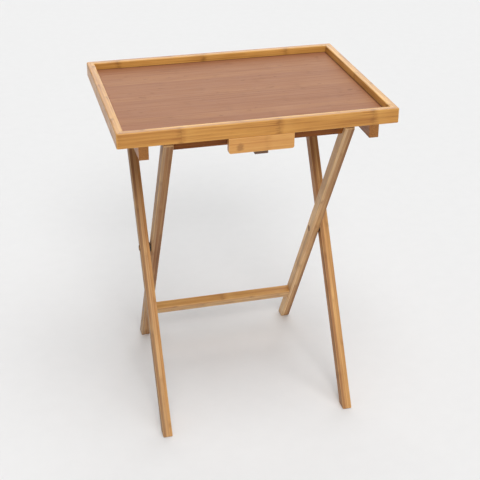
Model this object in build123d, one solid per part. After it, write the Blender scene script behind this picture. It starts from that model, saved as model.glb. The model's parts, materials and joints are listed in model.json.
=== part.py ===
from build123d import *
import math
import os

# Folding tray table: a shallow bamboo tray on two crossed leg frames.
# Millimetres. X runs to the right, Y to the back, Z up. The solids are drawn with Y from the pivot axis,
# and written with Y from the middle of the overall depth. Z is from the floor.

# Tray
tray_width = 500.0
tray_depth = 380.0
overall_height = 630.0
tray_offset = 7.8            # the tray's middle lies this far behind the pivot axis
rail_height = 27.0
rail_thickness = 14.0
rail_round = 2.2
rail_corner_round = 3.5
rail_lower_round = 1.2
panel_drop = 13.0            # from the tops of the rails down to the panel
panel_thickness = 5.0
panel_tongue = 6.0           # how far the panel runs into the grooves of the rails
groove_clearance = 0.2
corner_dowel_diameter = 4.0
corner_dowel_length = 11.0
corner_dowel_drop = 5.5      # from the tops of the rails down to the dowels' axes

# Battens under the tray, which carry the rear hinge
batten_width = 17.0
batten_height = 24.5
batten_inset = 1.0           # their ends stand back from the faces of the rails
batten_side_inset = 36.6     # their outer faces stand in from the sides of the tray
batten_round = 1.5

# Leg frames
leg_thickness = 18.0
leg_width = 21.0
leg_round = 1.6
toe_round = 1.7              # the sharp corner of a foot
heel_round = 4.0             # its blunt corner
leg_top_round = 5.0
leg_top_clearance = 0.8      # between the inner frame's top and the front rail
pivot_height = 314.0
pivot_gap = 3.0              # between an inner and an outer leg
hinge_gap = 4.8              # between an outer leg and its batten
hinge_drop = 11.5            # from the lower edges of the rails down to the hinge axis
hinge_setback = 35.5         # from the rear face of the tray to the hinge axis

# Bars of the inner frame
crossbar_thickness = 10.0
crossbar_height = 22.5
stretcher_thickness = 17.0
stretcher_height = 23.0
stretcher_rise = 92.0        # from the floor up to the stretcher's middle
bar_round = 1.5
tenon_length = 10.0
tenon_shoulder = 3.0

# Hinge rod and pivot hardware
rod_diameter = 12.0
rod_recess = 0.6             # the rod's ends lie this far inside the battens' outer faces
rod_pin_diameter = 2.5
rod_pin_recess = 0.4
rod_pin_length = 17.0
running_clearance = 0.05     # radial, where one piece turns on another
axial_clearance = 0.3        # along an axis, where one piece turns beside another
hinge_spacer_diameter = 20.0
bolt_diameter = 5.0
bolt_head_diameter = 11.0
bolt_head_height = 1.8
bolt_bite = 14.0             # how far a bolt runs into its sleeve
bolt_end_room = 0.5          # between a bolt's end and the bottom of its hole
sleeve_diameter = 8.0
sleeve_head_diameter = 12.0
sleeve_head_height = 1.6
sleeve_head_recess = 0.3     # the sleeve's head lies this far inside the inner leg's face
sleeve_head_room = 0.4       # radial, round the sleeve's head
pivot_spacer_diameter = 18.0

# Catch under the front rail
catch_width = 117.0
catch_height = 28.0
catch_thickness = 11.0
catch_proud = 1.0            # its face stands out from the rail's face
catch_corner_round = 4.0
catch_edge_round = 1.2
catch_clearance = 0.6        # between the catch block and the crossbar
button_width = 24.0
button_thickness = 5.0
button_setback = 2.5         # its front end stands back from the catch block's face
button_pivot_setback = 7.5   # its screw stands back from the catch block's face
button_overhang = 5.0        # how far its rear end reaches past the crossbar's lug
button_round = 0.8
button_washer_thickness = 0.8
button_washer_diameter = 11.0
lug_width = 44.0

# Wood screws
screw_diameter = 4.0
screw_head_diameter = 8.0
screw_head_height = 2.6
screw_slot_width = 1.2
screw_slot_depth = 1.0
screw_bed = 1.0              # wood left between a screw's tip and the panel's groove
catch_screw_spread = 38.0    # from the middle of the block to each of its screws
button_screw_bite = 16.0     # how far the button's screw runs into the block
button_head_height = 2.2
button_head_recess = 0.5     # the screw's head lies this far inside the button
button_head_room = 0.4       # radial, round the screw's head
frame_screw_length = 42.0

# Places worked out from the sizes above
rail_bottom = overall_height - rail_height
tray_front = tray_offset - tray_depth / 2
tray_back = tray_offset + tray_depth / 2
panel_top = overall_height - panel_drop
panel_bottom = panel_top - panel_thickness
hinge_y = tray_back - hinge_setback
hinge_z = rail_bottom - hinge_drop
tilt = math.atan2(hinge_y, hinge_z - pivot_height)
lean = math.tan(tilt)
leg_run = leg_width / 2 / math.cos(tilt)      # half of a leg's level section
foot_trim = toe_round * (1 / math.tan((math.pi / 2 - tilt) / 2) - 1)
foot_reach = pivot_height * lean + leg_run - foot_trim
overall_middle = (max(tray_back, foot_reach) - max(-tray_front, foot_reach)) / 2
batten_outside = tray_width / 2 - batten_side_inset
batten_inside = batten_outside - batten_width
outer_leg_outside = batten_inside - hinge_gap
outer_leg_inside = outer_leg_outside - leg_thickness
inner_leg_outside = outer_leg_inside - pivot_gap
inner_leg_inside = inner_leg_outside - leg_thickness
batten_bottom = rail_bottom - batten_height
frame_top = rail_bottom - leg_top_clearance
catch_bottom = rail_bottom - catch_height
catch_front = tray_front - catch_proud
catch_back = catch_front + catch_thickness
catch_middle = catch_front + catch_thickness / 2
button_pivot = catch_front + button_pivot_setback
button_top = catch_bottom - button_washer_thickness
button_bottom = button_top - button_thickness
screw_tip = panel_bottom - screw_bed
down_leg = (math.sin(tilt), -math.cos(tilt))  # along an inner leg, in Y and Z
across_leg = (math.cos(tilt), math.sin(tilt))  # from an inner leg's front face to its rear face


def side_face(points):
    # A flat face in the YZ plane, from (y, z) points.
    return make_face(Polyline(*points, close=True))


def side_prism(face, x_from, x_to):
    # A YZ face pulled along X.
    return Pos(x_from, 0, 0) * extrude(Plane.YZ * face, x_to - x_from)


def x_rod(y, z, radius, x_from, x_to):
    # A round bar along X.
    return Pos((x_from + x_to) / 2, y, z) * Rot(0, 90, 0) * Cylinder(radius, x_to - x_from)


def z_rod(x, y, radius, z_from, z_to):
    # A round bar along Z.
    return Pos(x, y, (z_from + z_to) / 2) * Cylinder(radius, z_to - z_from)


def mirrored(solid):
    return mirror(solid, about=Plane.YZ)


def soften(solid, radius):
    # Rounds the edges round a piece's two ends along X.
    faces = solid.faces().sort_by(Axis.X)
    return fillet(faces[0].edges() + faces[-1].edges(), radius)


def round_foot(face, toe_first):
    # Rounds the two lower corners of a leg's outline, the sharp one less than the blunt one.
    corners = face.vertices().group_by(Axis.Y)[0].sort_by(Axis.X)
    first, second = (toe_round, heel_round) if toe_first else (heel_round, toe_round)
    face = fillet(corners[0], first)
    far_corner = face.vertices().group_by(Axis.Y)[0].sort_by(Axis.X)[-1]
    return fillet(far_corner, second)


def leg_centre_y(z):
    # Y of an inner leg's centre line at a height.
    return (pivot_height - z) * lean


def along_leg(point, down, across):
    # A (y, z) point moved down an inner leg and across it.
    return (
        point[0] + down * down_leg[0] + across * across_leg[0],
        point[1] + down * down_leg[1] + across * across_leg[1],
    )


def write(name, *pieces):
    # Writes one node, as a group when it has more than one solid.
    placed = [Pos(0, -overall_middle, 0) * piece for piece in pieces]
    shape = placed[0] if len(placed) == 1 else Compound(children=placed)
    shape.label = name
    export_step(shape, "parts/" + name + ".step")


# Tray frame: a ring with rounded tops and a groove, cut on its mitres into four rails
def tray_ring():
    inner_width = tray_width - 2 * rail_thickness
    inner_depth = tray_depth - 2 * rail_thickness
    middle = Pos(0, tray_offset, rail_bottom + rail_height / 2)
    ring = middle * (Box(tray_width, tray_depth, rail_height) - Box(inner_width, inner_depth, rail_height))
    corners = ring.edges().filter_by(Axis.Z).sort_by(lambda e: abs(e.center().X))[4:]
    ring = fillet(corners, rail_corner_round)
    ring = fillet(ring.faces().sort_by(Axis.Z)[-1].edges(), rail_round)
    ring = fillet(ring.faces().sort_by(Axis.Z)[0].edges(), rail_lower_round)
    groove_height = panel_thickness + groove_clearance
    groove = Box(
        inner_width + 2 * (panel_tongue + groove_clearance),
        inner_depth + 2 * (panel_tongue + groove_clearance),
        groove_height,
    )
    return ring - Pos(0, tray_offset, panel_bottom + groove_height / 2) * groove


def corner_dowels():
    # One dowel across each mitre, square to it.
    dowels = []
    for side in (-1, 1):
        for end in (-1, 1):
            x = side * (tray_width - rail_thickness) / 2
            y = tray_offset + end * (tray_depth - rail_thickness) / 2
            turn = Rot(0, 0, -45 * side * end) * Rot(0, 90, 0)
            place = Pos(x, y, overall_height - corner_dowel_drop) * turn
            dowels.append(place * Cylinder(corner_dowel_diameter / 2, corner_dowel_length))
    return dowels


def screw_hole(x, y, bottom, tip):
    # The room of a countersunk screw that stands on its head, from its head's face up to its tip.
    shank = screw_diameter / 2
    head = screw_head_diameter / 2
    slope = head - shank
    outline = Polyline(
        (0, 0), (head, 0), (head, screw_head_height - slope), (shank, screw_head_height),
        (shank, tip - bottom - screw_diameter), (0, tip - bottom), close=True,
    )
    return Pos(x, y, bottom) * revolve(Plane.XZ * make_face(outline), Axis.Z)


def wood_screw(x, y, bottom, tip):
    slot = Box(screw_head_diameter, screw_slot_width, 2 * screw_slot_depth)
    return screw_hole(x, y, bottom, tip) - Pos(x, y, bottom) * slot


def batten_screw_places():
    x = (batten_inside + batten_outside) / 2
    inset = rail_thickness / 2
    return [(sx * x, y) for sx in (-1, 1) for y in (tray_front + inset, tray_back - inset)]


def catch_screw_places():
    return [(-catch_screw_spread, catch_middle), (catch_screw_spread, catch_middle)]


def batten():
    # The right batten. The hinge rod turns in its rear end.
    length = tray_depth - 2 * batten_inset
    middle_x = (batten_inside + batten_outside) / 2
    bar = Box(batten_width, length, batten_height)
    bar = Pos(middle_x, tray_offset, rail_bottom - batten_height / 2) * bar
    bar = fillet(bar.faces().sort_by(Axis.Z)[0].edges(), batten_round)
    bore = rod_diameter / 2 + running_clearance
    return bar - x_rod(hinge_y, hinge_z, bore, batten_inside - 1, batten_outside + 1)


def outer_leg():
    # The right outer leg: a foot at the front, a round top about the hinge axis at the rear.
    foot_y = -leg_centre_y(0)
    half = leg_width / 2
    rear = (hinge_y + half * math.cos(tilt), hinge_z - half * math.sin(tilt))
    front = (hinge_y - half * math.cos(tilt), hinge_z + half * math.sin(tilt))
    face = side_face([(foot_y - leg_run, 0), (foot_y + leg_run, 0), rear, front])
    face = round_foot(face, toe_first=True)
    face = face + Pos(hinge_y, hinge_z) * Circle(half)
    leg = soften(side_prism(face, outer_leg_inside, outer_leg_outside), leg_round)
    for y, z, radius in ((0, pivot_height, bolt_diameter / 2), (hinge_y, hinge_z, rod_diameter / 2)):
        leg = leg - x_rod(y, z, radius, outer_leg_inside - 1, outer_leg_outside + 1)
    return leg - rod_pin()


def inner_leg():
    # The right inner leg: a foot at the rear, a level top under the front rail.
    foot_y = leg_centre_y(0)
    top_y = leg_centre_y(frame_top)
    face = side_face([
        (foot_y - leg_run, 0), (foot_y + leg_run, 0),
        (top_y + leg_run, frame_top), (top_y - leg_run, frame_top),
    ])
    face = round_foot(face, toe_first=False)
    top_corner = face.vertices().group_by(Axis.Y)[-1].sort_by(Axis.X)[0]
    face = fillet(top_corner, leg_top_round)
    leg = soften(side_prism(face, inner_leg_inside, inner_leg_outside), leg_round)
    bore = sleeve_diameter / 2 + running_clearance
    leg = leg - x_rod(0, pivot_height, bore, inner_leg_inside - 1, inner_leg_outside + 1)
    seat = sleeve_head_end() + axial_clearance
    room = sleeve_head_diameter / 2 + sleeve_head_room
    leg = leg - x_rod(0, pivot_height, room, inner_leg_inside - 1, seat)
    for y, z, thickness, height in bar_middles():
        leg = leg - tenon(y, z, thickness, height, inner_leg_inside)
        leg = leg - frame_screw(y, z, 1, False)
    return leg


# Bars of the inner frame
def crossbar_corner():
    # The top front edge of the crossbar, just behind the catch block.
    return (catch_back + catch_clearance, frame_top)


def crossbar_outline(height_at_front):
    corner = crossbar_corner()
    low_front = along_leg(corner, height_at_front, 0)
    low_rear = along_leg(corner, height_at_front, crossbar_thickness)
    high_rear = along_leg(corner, crossbar_thickness * lean, crossbar_thickness)
    return [corner, low_front, low_rear, high_rear]


def bar_middles():
    # The middle and the size of each bar's end, for its tenons and screws.
    short_side = crossbar_height - crossbar_thickness * lean
    down = crossbar_thickness * lean + short_side / 2
    crossbar_middle = along_leg(crossbar_corner(), down, crossbar_thickness / 2)
    stretcher_middle = (leg_centre_y(stretcher_rise), stretcher_rise)
    return [
        (*crossbar_middle, crossbar_thickness, short_side),
        (*stretcher_middle, stretcher_thickness, stretcher_height),
    ]


def tenon(y, z, thickness, height, x_from):
    block = Box(tenon_length, thickness - 2 * tenon_shoulder, height - 2 * tenon_shoulder)
    return Pos(x_from + tenon_length / 2, y, z) * Rot(math.degrees(tilt), 0, 0) * block


def with_tenons(bar, middle):
    end = tenon(*middle, inner_leg_inside)
    bar = bar + end + mirrored(end)
    for side in (-1, 1):
        bar = bar - frame_screw(middle[0], middle[1], side, False)
    return bar


def frame_screw(y, z, side, slotted):
    # A screw through an inner leg into the end of a bar, its head level with the leg's outer face.
    shape = wood_screw if slotted else screw_hole
    return Pos(side * inner_leg_outside, y, z) * Rot(0, -90 * side, 0) * shape(0, 0, 0, frame_screw_length)


def crossbar():
    bar = side_prism(side_face(crossbar_outline(crossbar_height)), -inner_leg_inside, inner_leg_inside)
    long_edges = bar.edges().filter_by(Axis.X).sort_by(Axis.Z)[:2]
    bar = fillet(long_edges, bar_round)
    corner = crossbar_corner()
    front_run = (corner[1] - catch_bottom) / math.cos(tilt)
    rear_run = front_run + crossbar_thickness * lean
    lug = side_face([
        corner, along_leg(corner, front_run, 0),
        along_leg(corner, rear_run, crossbar_thickness),
        along_leg(corner, crossbar_thickness * lean, crossbar_thickness),
    ])
    bar = bar + side_prism(lug, -lug_width / 2, lug_width / 2)
    return with_tenons(bar, bar_middles()[0])


def stretcher():
    middle = bar_middles()[1]
    bar = Box(2 * inner_leg_inside, stretcher_thickness, stretcher_height)
    bar = fillet(bar.edges().filter_by(Axis.X), bar_round)
    bar = Pos(0, middle[0], middle[1]) * Rot(math.degrees(tilt), 0, 0) * bar
    return with_tenons(bar, middle)


# Hinge and pivot hardware
def rod_pin():
    # A pin from the rear face of the right outer leg through the hinge rod.
    x = (outer_leg_inside + outer_leg_outside) / 2
    middle = leg_width / 2 - rod_pin_recess - rod_pin_length / 2
    pin = Pos(0, middle, 0) * Rot(90, 0, 0) * Cylinder(rod_pin_diameter / 2, rod_pin_length)
    return Pos(x, hinge_y, hinge_z) * Rot(-math.degrees(tilt), 0, 0) * pin


def hinge_spacer():
    near, far = outer_leg_outside, batten_inside - axial_clearance
    ring = x_rod(hinge_y, hinge_z, hinge_spacer_diameter / 2, near, far)
    return ring - x_rod(hinge_y, hinge_z, rod_diameter / 2, near - 1, far + 1)


def pivot_bolt():
    # The right bolt: a low round head outside, a shank through the outer leg into its sleeve.
    shank = x_rod(0, pivot_height, bolt_diameter / 2, outer_leg_inside - bolt_bite, outer_leg_outside)
    head_end = outer_leg_outside + bolt_head_height
    head = x_rod(0, pivot_height, bolt_head_diameter / 2, outer_leg_outside, head_end)
    rim = head.faces().sort_by(Axis.X)[-1].edges()
    return shank + fillet(rim, bolt_head_height * 0.7)


def sleeve_head_end():
    # X of the inner side of the sleeve's head.
    return inner_leg_inside + sleeve_head_recess + sleeve_head_height


def pivot_sleeve():
    # A sleeve nut that the right inner leg turns on, with a flat slotted head let into the leg.
    start = inner_leg_inside + sleeve_head_recess
    barrel = x_rod(0, pivot_height, sleeve_diameter / 2, start, outer_leg_inside)
    head = x_rod(0, pivot_height, sleeve_head_diameter / 2, start, sleeve_head_end())
    hole_end = outer_leg_inside - bolt_bite - bolt_end_room
    hole = x_rod(0, pivot_height, bolt_diameter / 2, hole_end, outer_leg_inside + 1)
    slot = Pos(start, 0, pivot_height) * Box(2 * screw_slot_depth, screw_slot_width, sleeve_head_diameter)
    return barrel + head - hole - slot


def pivot_spacer():
    near, far = inner_leg_outside + axial_clearance, outer_leg_inside
    ring = x_rod(0, pivot_height, pivot_spacer_diameter / 2, near, far)
    return ring - x_rod(0, pivot_height, sleeve_diameter / 2, near - 1, far + 1)


# Catch: a block under the front rail and a turn button under the block
def catch_block():
    face = Rectangle(catch_width, catch_height)
    face = fillet(face.vertices().group_by(Axis.Y)[0], catch_corner_round)
    block = extrude(Plane.XZ * face, catch_thickness)
    block = Pos(0, catch_back, rail_bottom - catch_height / 2) * block
    front_edges = block.faces().sort_by(Axis.Y)[0].edges()
    block = fillet(front_edges, catch_edge_round)
    for x, y in catch_screw_places():
        block = block - screw_hole(x, y, catch_bottom, screw_tip)
    return block - button_screw_room()


def lug_back():
    # Y of the rear lower edge of the crossbar's lug.
    corner = crossbar_corner()
    run = (corner[1] - catch_bottom) / math.cos(tilt) + crossbar_thickness * lean
    return along_leg(corner, run, crossbar_thickness)[0]


def catch_button():
    front = catch_front + button_setback
    rear = lug_back() + button_overhang
    plate = Pos(0, (front + rear) / 2) * Rectangle(button_width, rear - front)
    plate = fillet(plate.vertices().group_by(Axis.Y)[-1], button_width * 0.3)
    plate = Pos(0, 0, button_bottom) * extrude(plate, button_thickness)
    plate = fillet(plate.faces().sort_by(Axis.Z)[0].edges(), button_round)
    bore = screw_diameter / 2 + running_clearance
    plate = plate - z_rod(0, button_pivot, bore, button_bottom - 1, button_top + 1)
    room = screw_head_diameter / 2 + button_head_room
    return plate - z_rod(0, button_pivot, room, button_bottom - 1, button_seat() + axial_clearance)


def button_washer():
    ring = z_rod(0, button_pivot, button_washer_diameter / 2, button_top, catch_bottom)
    return ring - z_rod(0, button_pivot, screw_diameter / 2, button_top - 1, catch_bottom + 1)


def button_screw_room():
    return z_rod(0, button_pivot, screw_diameter / 2, button_bottom, catch_bottom + button_screw_bite)


def button_seat():
    # Z of the upper side of the button screw's head.
    return button_bottom + button_head_recess + button_head_height


def button_screw():
    # A round-headed screw that the button turns on, its head let into the button.
    seat = button_seat()
    shank = z_rod(0, button_pivot, screw_diameter / 2, seat, catch_bottom + button_screw_bite)
    head = z_rod(0, button_pivot, screw_head_diameter / 2, seat - button_head_height, seat)
    head = fillet(head.faces().sort_by(Axis.Z)[0].edges(), button_head_height * 0.5)
    slot = Box(screw_head_diameter, screw_slot_width, 2 * screw_slot_depth)
    return shank + head - Pos(0, button_pivot, seat - button_head_height) * slot


os.makedirs("parts", exist_ok=True)

ring = tray_ring()
for x, y in batten_screw_places():
    ring = ring - screw_hole(x, y, batten_bottom, screw_tip)
for x, y in catch_screw_places():
    ring = ring - screw_hole(x, y, catch_bottom, screw_tip)
for dowel in corner_dowels():
    ring = ring - dowel
left, right = -tray_width / 2, tray_width / 2
cut = rail_thickness
near, far = tray_front, tray_back
mitres = {
    "front_rail": [(left, near), (right, near), (right - cut, near + cut), (left + cut, near + cut)],
    "back_rail": [(left, far), (right, far), (right - cut, far - cut), (left + cut, far - cut)],
    "left_rail": [(left, near), (left, far), (left + cut, far - cut), (left + cut, near + cut)],
    "right_rail": [(right, near), (right, far), (right - cut, far - cut), (right - cut, near + cut)],
}
for name, corners in mitres.items():
    outline = Pos(0, 0, rail_bottom) * make_face(Polyline(*corners, close=True))
    write(name, ring & extrude(outline, rail_height, dir=(0, 0, 1)))
write("corner_dowels", *corner_dowels())

panel_width = tray_width - 2 * rail_thickness + 2 * panel_tongue
panel_depth = tray_depth - 2 * rail_thickness + 2 * panel_tongue
panel = Box(panel_width, panel_depth, panel_thickness)
write("tray_panel", Pos(0, tray_offset, panel_bottom + panel_thickness / 2) * panel)

right_batten = batten()
left_batten = mirrored(right_batten)
for x, y in batten_screw_places():
    right_batten = right_batten - screw_hole(x, y, batten_bottom, screw_tip)
    left_batten = left_batten - screw_hole(x, y, batten_bottom, screw_tip)
write("right_batten", right_batten)
write("left_batten", left_batten)
screws = [wood_screw(x, y, batten_bottom, screw_tip) for x, y in batten_screw_places()]
write("batten_screws", *screws)

write("right_outer_leg", outer_leg())
write("left_outer_leg", mirrored(outer_leg()))
rod_end = batten_outside - rod_recess
rod_pins = [rod_pin(), mirrored(rod_pin())]
hinge_rod = x_rod(hinge_y, hinge_z, rod_diameter / 2, -rod_end, rod_end)
for pin in rod_pins:
    hinge_rod = hinge_rod - pin
write("hinge_rod", hinge_rod)
write("rod_pins", *rod_pins)
write("hinge_spacers", hinge_spacer(), mirrored(hinge_spacer()))

write("right_inner_leg", inner_leg())
write("left_inner_leg", mirrored(inner_leg()))
write("front_crossbar", crossbar())
write("lower_stretcher", stretcher())
for name, middle in zip(("crossbar_screws", "stretcher_screws"), bar_middles()):
    pair = [frame_screw(middle[0], middle[1], side, True) for side in (-1, 1)]
    write(name, *pair)

write("right_pivot_bolt", pivot_bolt())
write("left_pivot_bolt", mirrored(pivot_bolt()))
write("pivot_spacers", pivot_spacer(), mirrored(pivot_spacer()))
write("pivot_sleeves", pivot_sleeve(), mirrored(pivot_sleeve()))

write("catch_block", catch_block())
catch_screws = [wood_screw(x, y, catch_bottom, screw_tip) for x, y in catch_screw_places()]
write("catch_screws", *catch_screws)
write("catch_button", catch_button())
write("button_washer", button_washer())
write("button_screw", button_screw())
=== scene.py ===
import json
import math

import bpy
from mathutils import Matrix, Vector


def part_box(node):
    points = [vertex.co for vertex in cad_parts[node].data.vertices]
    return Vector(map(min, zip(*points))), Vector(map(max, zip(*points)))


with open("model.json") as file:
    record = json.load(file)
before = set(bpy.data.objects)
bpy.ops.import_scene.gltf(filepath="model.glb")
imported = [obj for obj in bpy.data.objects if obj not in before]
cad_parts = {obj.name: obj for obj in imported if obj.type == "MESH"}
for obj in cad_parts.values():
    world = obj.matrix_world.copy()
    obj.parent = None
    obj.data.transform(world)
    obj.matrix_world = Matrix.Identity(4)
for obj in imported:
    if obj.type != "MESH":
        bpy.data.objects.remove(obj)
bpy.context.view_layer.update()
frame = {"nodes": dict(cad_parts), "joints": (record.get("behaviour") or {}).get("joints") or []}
nodes = frame["nodes"]
scene = bpy.context.scene
scene.view_settings.view_transform = "Standard"
joints = {j["name"]: j for j in frame["joints"]}

FACE_SKIN = 0.0004           # the first strip starts this far outside a piece's face
JOINT_REACH = 0.009          # half of the length of a growth joint's dark patch
STRIP_SHIFT = 3.1            # along the grain from one strip's pattern to the next one's, before the seed
FIBRE_DOT = 0.0011           # size of the fibres' dots on a cut end
WOOD_RELIEF = 0.00025        # height of the wood's fine relief
METAL_RELIEF = 0.0001        # height of the scratches in metal and nylon
FLOOR_DROP = 0.0003          # from the feet down to the floor

# Noise scales along X, Y and Z, per metre
CLOUD_SCALE = (350.0, 350.0, 350.0)
SCRATCH_SCALE = (5000.0, 600.0, 5000.0)
GRIT_SCALE = (30.0, 30.0, 30.0)

X, Y, Z = Vector((1, 0, 0)), Vector((0, 1, 0)), Vector((0, 0, 1))
pivot = Vector(joints["leg_fold"]["pos_m"])
hinge = Vector(joints["tray_level"]["pos_m"])
up_outer = (hinge - pivot).normalized()
up_inner = Vector((0, -up_outer.y, up_outer.z))


def linear(red, green, blue):
    # A colour given as 0 to 255 display values, as Blender's linear colour.
    def channel(value):
        value /= 255
        return value / 12.92 if value <= 0.04045 else ((value + 0.055) / 1.055) ** 2.4
    return (channel(red), channel(green), channel(blue), 1.0)


class Sheet:
    # A material's node tree, with short names for the nodes that the materials share.
    def __init__(self, name):
        self.material = bpy.data.materials.new(name)
        self.material.use_nodes = True
        self.tree = self.material.node_tree
        self.shader = self.tree.nodes["Principled BSDF"]

    def add(self, kind, **settings):
        node = self.tree.nodes.new(kind)
        for key, value in settings.items():
            setattr(node, key, value)
        return node

    def feed(self, socket, value):
        if isinstance(value, bpy.types.NodeSocket):
            self.tree.links.new(value, socket)
        else:
            socket.default_value = value

    def math(self, operation, a, b=0.0):
        node = self.add("ShaderNodeMath", operation=operation)
        self.feed(node.inputs[0], a)
        self.feed(node.inputs[1], b)
        return node.outputs[0]

    def vector(self, operation, a, b, output="Vector"):
        node = self.add("ShaderNodeVectorMath", operation=operation)
        self.feed(node.inputs[0], a)
        self.feed(node.inputs[1], b)
        return node.outputs[output]

    def place(self, origin=(0, 0, 0)):
        # Rest-pose coordinates, counted from a point.
        return self.vector("SUBTRACT", self.add("ShaderNodeTexCoord").outputs["Object"], origin)

    def along(self, vector, direction):
        return self.vector("DOT_PRODUCT", vector, direction, "Value")

    def point(self, x, y, z):
        node = self.add("ShaderNodeCombineXYZ")
        for socket, value in zip(node.inputs, (x, y, z)):
            self.feed(socket, value)
        return node.outputs[0]

    def noise(self, vector, detail=3.0):
        node = self.add("ShaderNodeTexNoise")
        self.feed(node.inputs["Vector"], vector)
        node.inputs["Scale"].default_value = 1.0
        node.inputs["Detail"].default_value = detail
        node.inputs["Roughness"].default_value = 0.55
        return node.outputs["Fac"]

    def chance(self, value):
        # A random number for each whole number.
        node = self.add("ShaderNodeTexWhiteNoise", noise_dimensions="1D")
        self.feed(node.inputs["W"], value)
        return node.outputs["Value"]

    def span(self, value, low, high, to_low=0.0, to_high=1.0):
        node = self.add("ShaderNodeMapRange", interpolation_type="SMOOTHSTEP", clamp=True)
        self.feed(node.inputs["Value"], value)
        node.inputs["From Min"].default_value = low
        node.inputs["From Max"].default_value = high
        node.inputs["To Min"].default_value = to_low
        node.inputs["To Max"].default_value = to_high
        return node.outputs["Result"]

    def mix(self, factor, a, b, blend="MIX"):
        node = self.add("ShaderNodeMix", data_type="RGBA", blend_type=blend)
        self.feed(node.inputs[0], factor)
        self.feed(node.inputs[6], a)
        self.feed(node.inputs[7], b)
        return node.outputs[2]

    def steps(self, value, colours):
        # One colour after the other as a value runs from 0 to 1.
        node = self.add("ShaderNodeValToRGB")
        node.color_ramp.interpolation = "CONSTANT"
        stops = node.color_ramp.elements
        while len(stops) < len(colours):
            stops.new(1.0)
        for number, colour in enumerate(colours):
            stops[number].position = number / len(colours)
            stops[number].color = colour
        self.feed(node.inputs[0], value)
        return node.outputs["Color"]

    def bump(self, height, strength, distance):
        node = self.add("ShaderNodeBump")
        node.inputs["Strength"].default_value = strength
        node.inputs["Distance"].default_value = distance
        self.feed(node.inputs["Height"], height)
        self.feed(self.shader.inputs["Normal"], node.outputs["Normal"])


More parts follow.
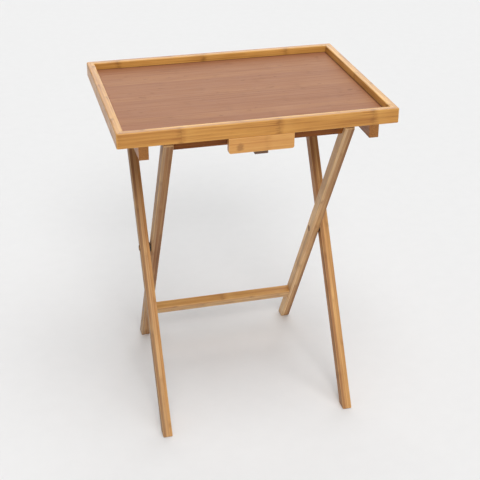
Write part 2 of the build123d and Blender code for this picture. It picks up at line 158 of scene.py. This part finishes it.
def bamboo(name, origin, grain, across, tones, strip=0.007, strips=None, seed=0.0, period=0.1715, first=0.0,
           step=0.37, joint=0.5, streak=0.4, fleck=0.25, seam=0.2, cloudy=0.4, shine=0.2, rough=(0.36, 0.5),
           knot=None, joint_shade=None, shade_and_darker_bands=(), smudge=0.0, edge_highlight=0.6):
    # Laminated bamboo: strips side by side, each with its own tone, long fibres, flecks and growth joints.
    # Lengths are metres of the rest pose: u along the grain, v across the strips and w through them.
    # Growth joints lie a period apart. As shares of it, first shifts them all and step the next strip's.
    # joint, streak, fleck, seam, cloudy and smudge are strengths, and so is the painted highlight on the
    # rounded edges.
    pale, light, dark, mark = tones
    s = Sheet(name)
    grain, across = Vector(grain).normalized(), Vector(across).normalized()
    place = s.place(Vector(origin) - across * FACE_SKIN)
    ways = grain, across, grain.cross(across)
    u, v, w = (s.along(place, way) for way in ways)
    count = s.math("DIVIDE", v, strip)
    index = s.math("FLOOR", count)
    if strips:
        base = s.steps(s.math("DIVIDE", count, len(strips)), strips)
    else:
        base = s.mix(s.chance(s.math("ADD", index, seed + 0.5)), light, dark)

    # Streaks and fibres run with the grain, and each strip has its own.
    shifted = s.math("ADD", u, s.math("MULTIPLY", index, STRIP_SHIFT + seed))

    def grained(length, width, detail):
        return s.noise(s.point(s.math("DIVIDE", shifted, length), s.math("DIVIDE", v, width),
                               s.math("DIVIDE", w, width)), detail)

    base = s.mix(s.span(grained(0.1, 0.03, 2.0), 0.35, 0.7, 0.0, cloudy), base, dark)
    wave = grained(0.25, 0.005, 4.0)
    fibre = grained(0.07, 0.0008, 2.0)
    base = s.mix(s.span(wave, 0.45, 0.7, 0.0, streak), base, dark, "MULTIPLY")
    base = s.mix(s.span(wave, 0.3, 0.5, streak, 0.0), base, pale)
    base = s.mix(s.span(fibre, 0.4, 0.7, 0.0, streak * 0.6), base, dark, "MULTIPLY")
    base = s.mix(s.span(grained(0.014, 0.0006, 1.0), 0.66, 0.74, 0.0, fleck), base, mark)
    base = s.mix(s.span(grained(0.02, 0.0028, 2.0), 0.68, 0.76, 0.0, fleck), base, mark)
    if smudge:
        base = s.mix(s.span(grained(0.02, 0.007, 1.0), 0.68, 0.78, 0.0, smudge), base, mark)

    # Growth joints cross a strip at even steps.
    # Each is a soft dark patch with a ragged ring in it, a dark tail before it and a pale stretch after it.
    offset = s.math("ADD", s.math("MULTIPLY", index, step), first)
    where = s.math("ADD", s.math("DIVIDE", u, period), offset)
    away = s.math("MULTIPLY", s.math("SUBTRACT", s.math("FRACT", where), 0.5), period)
    ragged = s.math("SUBTRACT", grained(0.012, 0.004, 3.0), 0.5)
    away = s.math("ADD", away, s.math("MULTIPLY", ragged, JOINT_REACH))
    gap = s.math("ABSOLUTE", away)
    blot = s.span(grained(0.03, 0.009, 2.0), 0.35, 0.65, 0.2, 1.0)
    patch = s.math("MULTIPLY", s.span(gap, 0.0, JOINT_REACH, 1.0, 0.0), blot)
    ring = s.span(gap, JOINT_REACH * 0.03, JOINT_REACH * 0.12, 1.0, 0.0)
    tail = s.math("MULTIPLY", s.span(away, JOINT_REACH * -4.0, JOINT_REACH * -0.3),
                  s.span(away, JOINT_REACH * -0.3, JOINT_REACH * 0.2, 1.0, 0.0))
    tail = s.math("MULTIPLY", tail, s.span(grained(0.15, 0.002, 2.0), 0.48, 0.62))
    after = s.math("MULTIPLY", s.span(away, JOINT_REACH * 0.5, JOINT_REACH * 1.3),
                   s.span(away, JOINT_REACH * 1.3, JOINT_REACH * 4.0, 1.0, 0.0))
    base = s.mix(s.math("MULTIPLY", after, joint * 0.45), base, pale)
    base = s.mix(s.math("MULTIPLY", tail, joint), base, dark, "MULTIPLY")
    base = s.mix(s.math("MULTIPLY", patch, joint), base, mark)
    base = s.mix(s.math("MULTIPLY", ring, joint * 0.3), base, mark)
    if knot:
        # One round dark spot.
        spot, size = knot
        distance = s.vector("DISTANCE", place, spot - Vector(origin), "Value")
        distance = s.math("ADD", distance, s.math("MULTIPLY", ragged, size))
        base = s.mix(s.span(distance, size * 0.35, size, 0.6, 0.0), base, mark)
    if joint_shade:
        # Darker where a board meets the pieces round it: painted shade at the foot of the rails, with a
        # dark joint line.
        reach, inset, long_side, short_side, strength = joint_shade

        def from_edge(way, side):
            off_middle = s.math("ABSOLUTE", s.math("SUBTRACT", way, side / 2))
            return s.math("SUBTRACT", side / 2 - inset, off_middle)

        edge = s.math("MINIMUM", from_edge(u, long_side), from_edge(v, short_side))
        base = s.mix(s.span(edge, 0.0, reach, strength, 0.0), base, mark)
    for start, end, strength in shade_and_darker_bands:
        # Darker along the grain, from nothing at the start to full strength at the end and past it. On the
        # outer legs' tops this is painted shadow of the tray.
        base = s.mix(s.span(u, start, end, 0.0, strength), base, mark)

    # Thin glue lines lie between the strips.
    from_middle = s.math("ABSOLUTE", s.math("SUBTRACT", s.math("FRACT", count), 0.5))
    line = s.span(from_middle, 0.465, 0.497)
    base = s.mix(s.math("MULTIPLY", line, seam), base, mark)

    # The rounded edges are painted paler, unevenly, as a painted highlight.
    normal = s.add("ShaderNodeTexCoord").outputs["Normal"]
    facing, sideways, upright = (s.math("ABSOLUTE", s.along(normal, way)) for way in ways)
    flat = s.math("MAXIMUM", facing, s.math("MAXIMUM", sideways, upright))
    edge_highlight_patches = s.span(grained(0.05, 0.006, 2.0), 0.35, 0.6, edge_highlight * 0.4, edge_highlight)
    base = s.mix(s.math("MULTIPLY", s.span(flat, 0.8, 0.985, 1.0, 0.0), edge_highlight_patches), base, pale)

    # The cut ends are darker, with the fibres' ends as dots.
    dots = s.noise(s.point(s.math("DIVIDE", v, FIBRE_DOT), s.math("DIVIDE", w, FIBRE_DOT), seed), 1.0)
    cut = s.mix(s.span(dots, 0.42, 0.62), dark, mark)
    base = s.mix(s.span(facing, 0.7, 0.95, 0.0, 0.75), base, cut)

    s.feed(s.shader.inputs["Base Color"], base)
    s.feed(s.shader.inputs["Roughness"], s.span(grained(0.04, 0.003, 3.0), 0.3, 0.7, rough[0], rough[1]))
    s.shader.inputs["Specular IOR Level"].default_value = 0.3 + shine
    s.shader.inputs["Coat Weight"].default_value = max(shine, 0.0)
    s.shader.inputs["Coat Roughness"].default_value = 0.25
    relief = s.math("ADD", s.math("MULTIPLY", fibre, 0.5), s.math("MULTIPLY", wave, 0.5))
    relief = s.math("SUBTRACT", relief, s.math("MULTIPLY", line, 0.6))
    relief = s.math("ADD", relief, s.math("MULTIPLY", patch, 0.4))
    s.bump(relief, 0.22, WOOD_RELIEF)
    return s


def metal(name, colour, cloud_tone, rough, metallic):
    # A cloudy tone, fine scratches and duller patches, on metal and on moulded nylon.
    s = Sheet(name)
    cloud = s.noise(s.vector("MULTIPLY", s.place(), CLOUD_SCALE), 4.0)
    scratch = s.noise(s.vector("MULTIPLY", s.place(), SCRATCH_SCALE), 2.0)
    s.feed(s.shader.inputs["Base Color"], s.mix(s.span(cloud, 0.3, 0.7), colour, cloud_tone))
    s.feed(s.shader.inputs["Roughness"], s.span(cloud, 0.3, 0.7, rough, rough + 0.16))
    s.shader.inputs["Metallic"].default_value = metallic
    s.bump(s.math("ADD", cloud, s.math("MULTIPLY", scratch, 0.4)), 0.15, METAL_RELIEF)
    return s


def wear(sheet, *names):
    # Gives nodes a material.
    for name in names:
        for slot in nodes[name].material_slots:
            slot.material = sheet.material


def low_corner(name):
    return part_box(name)[0]


# Tones of each wood: pale, light, dark and mark
rail_tones = linear(222, 168, 88), linear(203, 144, 68), linear(172, 114, 46), linear(122, 72, 24)
panel_tones = linear(179, 131, 88), linear(174, 123, 85), linear(163, 111, 78), linear(108, 66, 42)
block_tones = linear(236, 188, 112), linear(226, 170, 93), linear(210, 151, 77), linear(140, 88, 34)
leg_tones = linear(224, 182, 122), linear(206, 158, 98), linear(172, 122, 74), linear(112, 70, 36)
bar_tones = linear(232, 186, 118), linear(226, 173, 104), linear(200, 144, 82), linear(124, 78, 40)
batten_tones = linear(190, 138, 76), linear(178, 120, 60), linear(164, 107, 48), linear(106, 64, 28)
# The crossbar's tones are dark: a darker wood, with painted shade from the front rail above it.
crossbar_shaded_tones = linear(162, 98, 32), linear(150, 86, 24), linear(128, 70, 18), linear(76, 42, 14)
# The catch button's tones are dark: painted shade under the catch block.
tab_shaded_tones = linear(136, 100, 64), linear(124, 86, 52), linear(108, 72, 42), linear(70, 44, 26)
dowel_tones = linear(220, 186, 138), linear(212, 176, 126), linear(190, 148, 98), linear(130, 90, 54)

# Tones of single strips
blond, sand, tan = linear(238, 203, 156), linear(207, 163, 114), linear(216, 171, 116)
honey, amber, russet = linear(208, 154, 93), linear(227, 177, 113), linear(184, 134, 89)
grey, cocoa = linear(185, 154, 120), linear(172, 135, 98)
umber, walnut = linear(160, 117, 79), linear(146, 106, 73)
straw, gold = rail_tones[:2]
cream = linear(242, 190, 104)

# Tray: rails of two strips each, panel and catch
for name, grain, across, strips, first in (
    ("front_rail", X, Y, (gold, cream), 0.32),
    ("back_rail", X, Y, (straw, gold), 0.61),
    ("left_rail", Y, X, (gold, straw), 0.17),
    ("right_rail", Y, X, (cream, straw), 0.43),
):
    corner = low_corner(name)
    start = corner - grain * corner.dot(grain)
    wear(bamboo("bamboo_" + name, start, grain, across, rail_tones, strip=0.0075, strips=strips,
                seed=7 * first, first=first, shine=0.06, rough=(0.28, 0.4)), name)
panel_low, panel_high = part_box("tray_panel")
panel_size = panel_high - panel_low
panel_groove = 0.006         # the panel's edge lies this deep in the rails
# Painted shade and a dark joint line along the panel's edge, where it meets the rails
joint_shade_reach, joint_shade_strength = 0.005, 0.88
panel_joint_shade = (joint_shade_reach, panel_groove, panel_size.x, panel_size.y, joint_shade_strength)
wear(bamboo("bamboo_panel", panel_low, X, Y, panel_tones, strip=0.0215, period=0.29, first=0.3, step=0.618,
            joint=0.1, streak=0.2, fleck=0.22, seam=0.05, cloudy=0.6, shine=-0.15, rough=(0.46, 0.56),
            joint_shade=panel_joint_shade, smudge=0.4), "tray_panel")
block_low = low_corner("catch_block")
block_knot = block_low + Vector((0.02, 0, 0.011))
knot_radius = 0.009
wear(bamboo("bamboo_block", block_low, X, Y, block_tones, strip=0.0062, first=0.1, joint=0.15,
            knot=(block_knot, knot_radius)), "catch_block")
wear(bamboo("bamboo_button", low_corner("catch_button"), Y, X, tab_shaded_tones, strip=0.009, first=0.2),
     "catch_button")

# Legs, three strips each, from left to right
# A band has a start, an end and a strength, and its places are metres up the leg from the pivot. The outer
# legs' first band is painted shadow of the tray on their tops; their second band and the inner legs' band
# only make the legs darker there.
outer_shade_and_darker_bands = (0.07, 0.16, 0.5), (-0.12, -0.3, 0.18)
inner_darker_bands = (0.03, 0.2, 0.32),
for name, up, strips, first, shade_and_darker_bands in (
    ("left_outer_leg", up_outer, (cocoa, tan, honey), 0.2, outer_shade_and_darker_bands),
    ("left_inner_leg", up_inner, (grey, umber, walnut), 0.55, inner_darker_bands),
    ("right_outer_leg", up_outer, (russet, amber, honey), 0.75, outer_shade_and_darker_bands),
    ("right_inner_leg", up_inner, (blond, sand, umber), 0.05, inner_darker_bands),
):
    start = Vector((low_corner(name).x, pivot.y, pivot.z))
    wear(bamboo("bamboo_" + name, start, up, X, leg_tones, strip=0.0062, strips=strips, seed=9 * first,
                period=0.24, first=first, joint=0.25, seam=0.3, shine=-0.05, rough=(0.45, 0.6),
                shade_and_darker_bands=shade_and_darker_bands), name)

# Bars, battens and small parts
for name, seed in (("left_batten", 3.0), ("right_batten", 11.0)):
    wear(bamboo("bamboo_" + name, low_corner(name), Y, X, batten_tones, strip=0.006, seed=seed, first=0.3,
                shine=0.0), name)
wear(bamboo("bamboo_crossbar", low_corner("front_crossbar"), X, up_inner.cross(X), crossbar_shaded_tones,
            strip=0.0052, shine=-0.2), "front_crossbar")
slat_reach = [up_inner.dot(corner.co) for corner in nodes["lower_stretcher"].data.vertices]
slat_height = max(slat_reach) - min(slat_reach)
slat_low, slat_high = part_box("lower_stretcher")
slat_foot = (slat_low + slat_high) / 2 - up_inner * slat_height / 2
slat_strips = linear(204, 167, 117), linear(199, 160, 109), linear(205, 166, 110), linear(203, 153, 87)
wear(bamboo("bamboo_stretcher", slat_foot, X, up_inner, bar_tones, strip=slat_height / len(slat_strips),
            strips=slat_strips, seed=5.0), "lower_stretcher")
wear(bamboo("bamboo_dowel", hinge, X, Y, dowel_tones, strip=0.03, joint=0.0, seam=0.0, edge_highlight=0.0),
     "hinge_rod", "corner_dowels")
wear(metal("zinc_steel", linear(150, 147, 140), linear(110, 106, 100), 0.3, 1.0),
     "batten_screws", "catch_screws", "button_screw", "button_washer", "crossbar_screws",
     "stretcher_screws", "rod_pins")
wear(metal("bronzed_steel", linear(160, 119, 76), linear(122, 88, 54), 0.38, 1.0),
     "left_pivot_bolt", "right_pivot_bolt", "pivot_sleeves")
wear(metal("black_nylon", linear(38, 34, 31), linear(26, 23, 21), 0.5, 0.0),
     "pivot_spacers", "hinge_spacers")

# Floor and studio light
bpy.ops.mesh.primitive_plane_add(size=60, location=(0, 0, -FLOOR_DROP))
floor = bpy.context.object
floor.name = "studio_floor"
paper = Sheet("studio_paper")
speck = paper.noise(paper.vector("MULTIPLY", paper.place(), GRIT_SCALE), 4.0)
grit_dark, grit_light = (0.77, 0.77, 0.77, 1), (0.8, 0.8, 0.8, 1)
paper.feed(paper.shader.inputs["Base Color"], paper.mix(speck, grit_dark, grit_light))
paper.shader.inputs["Roughness"].default_value = 0.9
floor.data.materials.append(paper.material)

# The sky is palest at the level of the eye, so that the floor runs into it.
world = bpy.data.worlds.new("studio_world")
scene.world = world
world.use_nodes = True
sky = world.node_tree
rise_of = sky.nodes.new("ShaderNodeSeparateXYZ")
sky.links.new(sky.nodes.new("ShaderNodeTexCoord").outputs["Generated"], rise_of.inputs[0])
shade = sky.nodes.new("ShaderNodeMapRange")
shade.inputs["From Max"].default_value = 0.3
shade.inputs["To Min"].default_value = 0.84
shade.inputs["To Max"].default_value = 0.31
sky.links.new(rise_of.outputs["Z"], shade.inputs["Value"])
sky.links.new(shade.outputs["Result"], sky.nodes["Background"].inputs["Strength"])
sky.nodes["Background"].inputs["Color"].default_value = (1.0, 1.0, 1.0, 1)


def lamp(name, spot, target, energy, angle):
    light = bpy.data.lights.new(name, "SUN")
    light.energy = energy
    light.angle = angle
    holder = bpy.data.objects.new(name, light)
    scene.collection.objects.link(holder)
    holder.location = spot
    holder.rotation_euler = (Vector(target) - Vector(spot)).to_track_quat("-Z", "Y").to_euler()


middle = (0, 0, 0.4)
lamp("key_light", (0.25, -0.7, 3.4), middle, energy=1.3, angle=0.8)
lamp("front_light", (-0.2, -3.0, 2.9), middle, energy=1.12, angle=0.4)
lamp("back_light", (0.6, 2.6, 1.9), middle, energy=1.0, angle=0.9)

# Camera at the photograph's viewing angle, aimed near the table's middle
turn, rise, roll = math.radians(-14.63), math.radians(28.18), math.radians(0.26)
back = Vector((math.sin(turn) * math.cos(rise), -math.cos(turn) * math.cos(rise), math.sin(rise)))
lens = bpy.data.cameras.new("camera")
lens.lens = 80.0
lens.clip_end = 50
camera = bpy.data.objects.new("camera", lens)
scene.collection.objects.link(camera)
aim = (-back).to_track_quat("-Z", "Y").to_matrix() @ Matrix.Rotation(roll, 3, "Z")
focus, distance = Vector((0.0099, 0, 0.3043)), 2.1233
camera.matrix_world = Matrix.Translation(focus + back * distance) @ aim.to_4x4()
scene.camera = camera
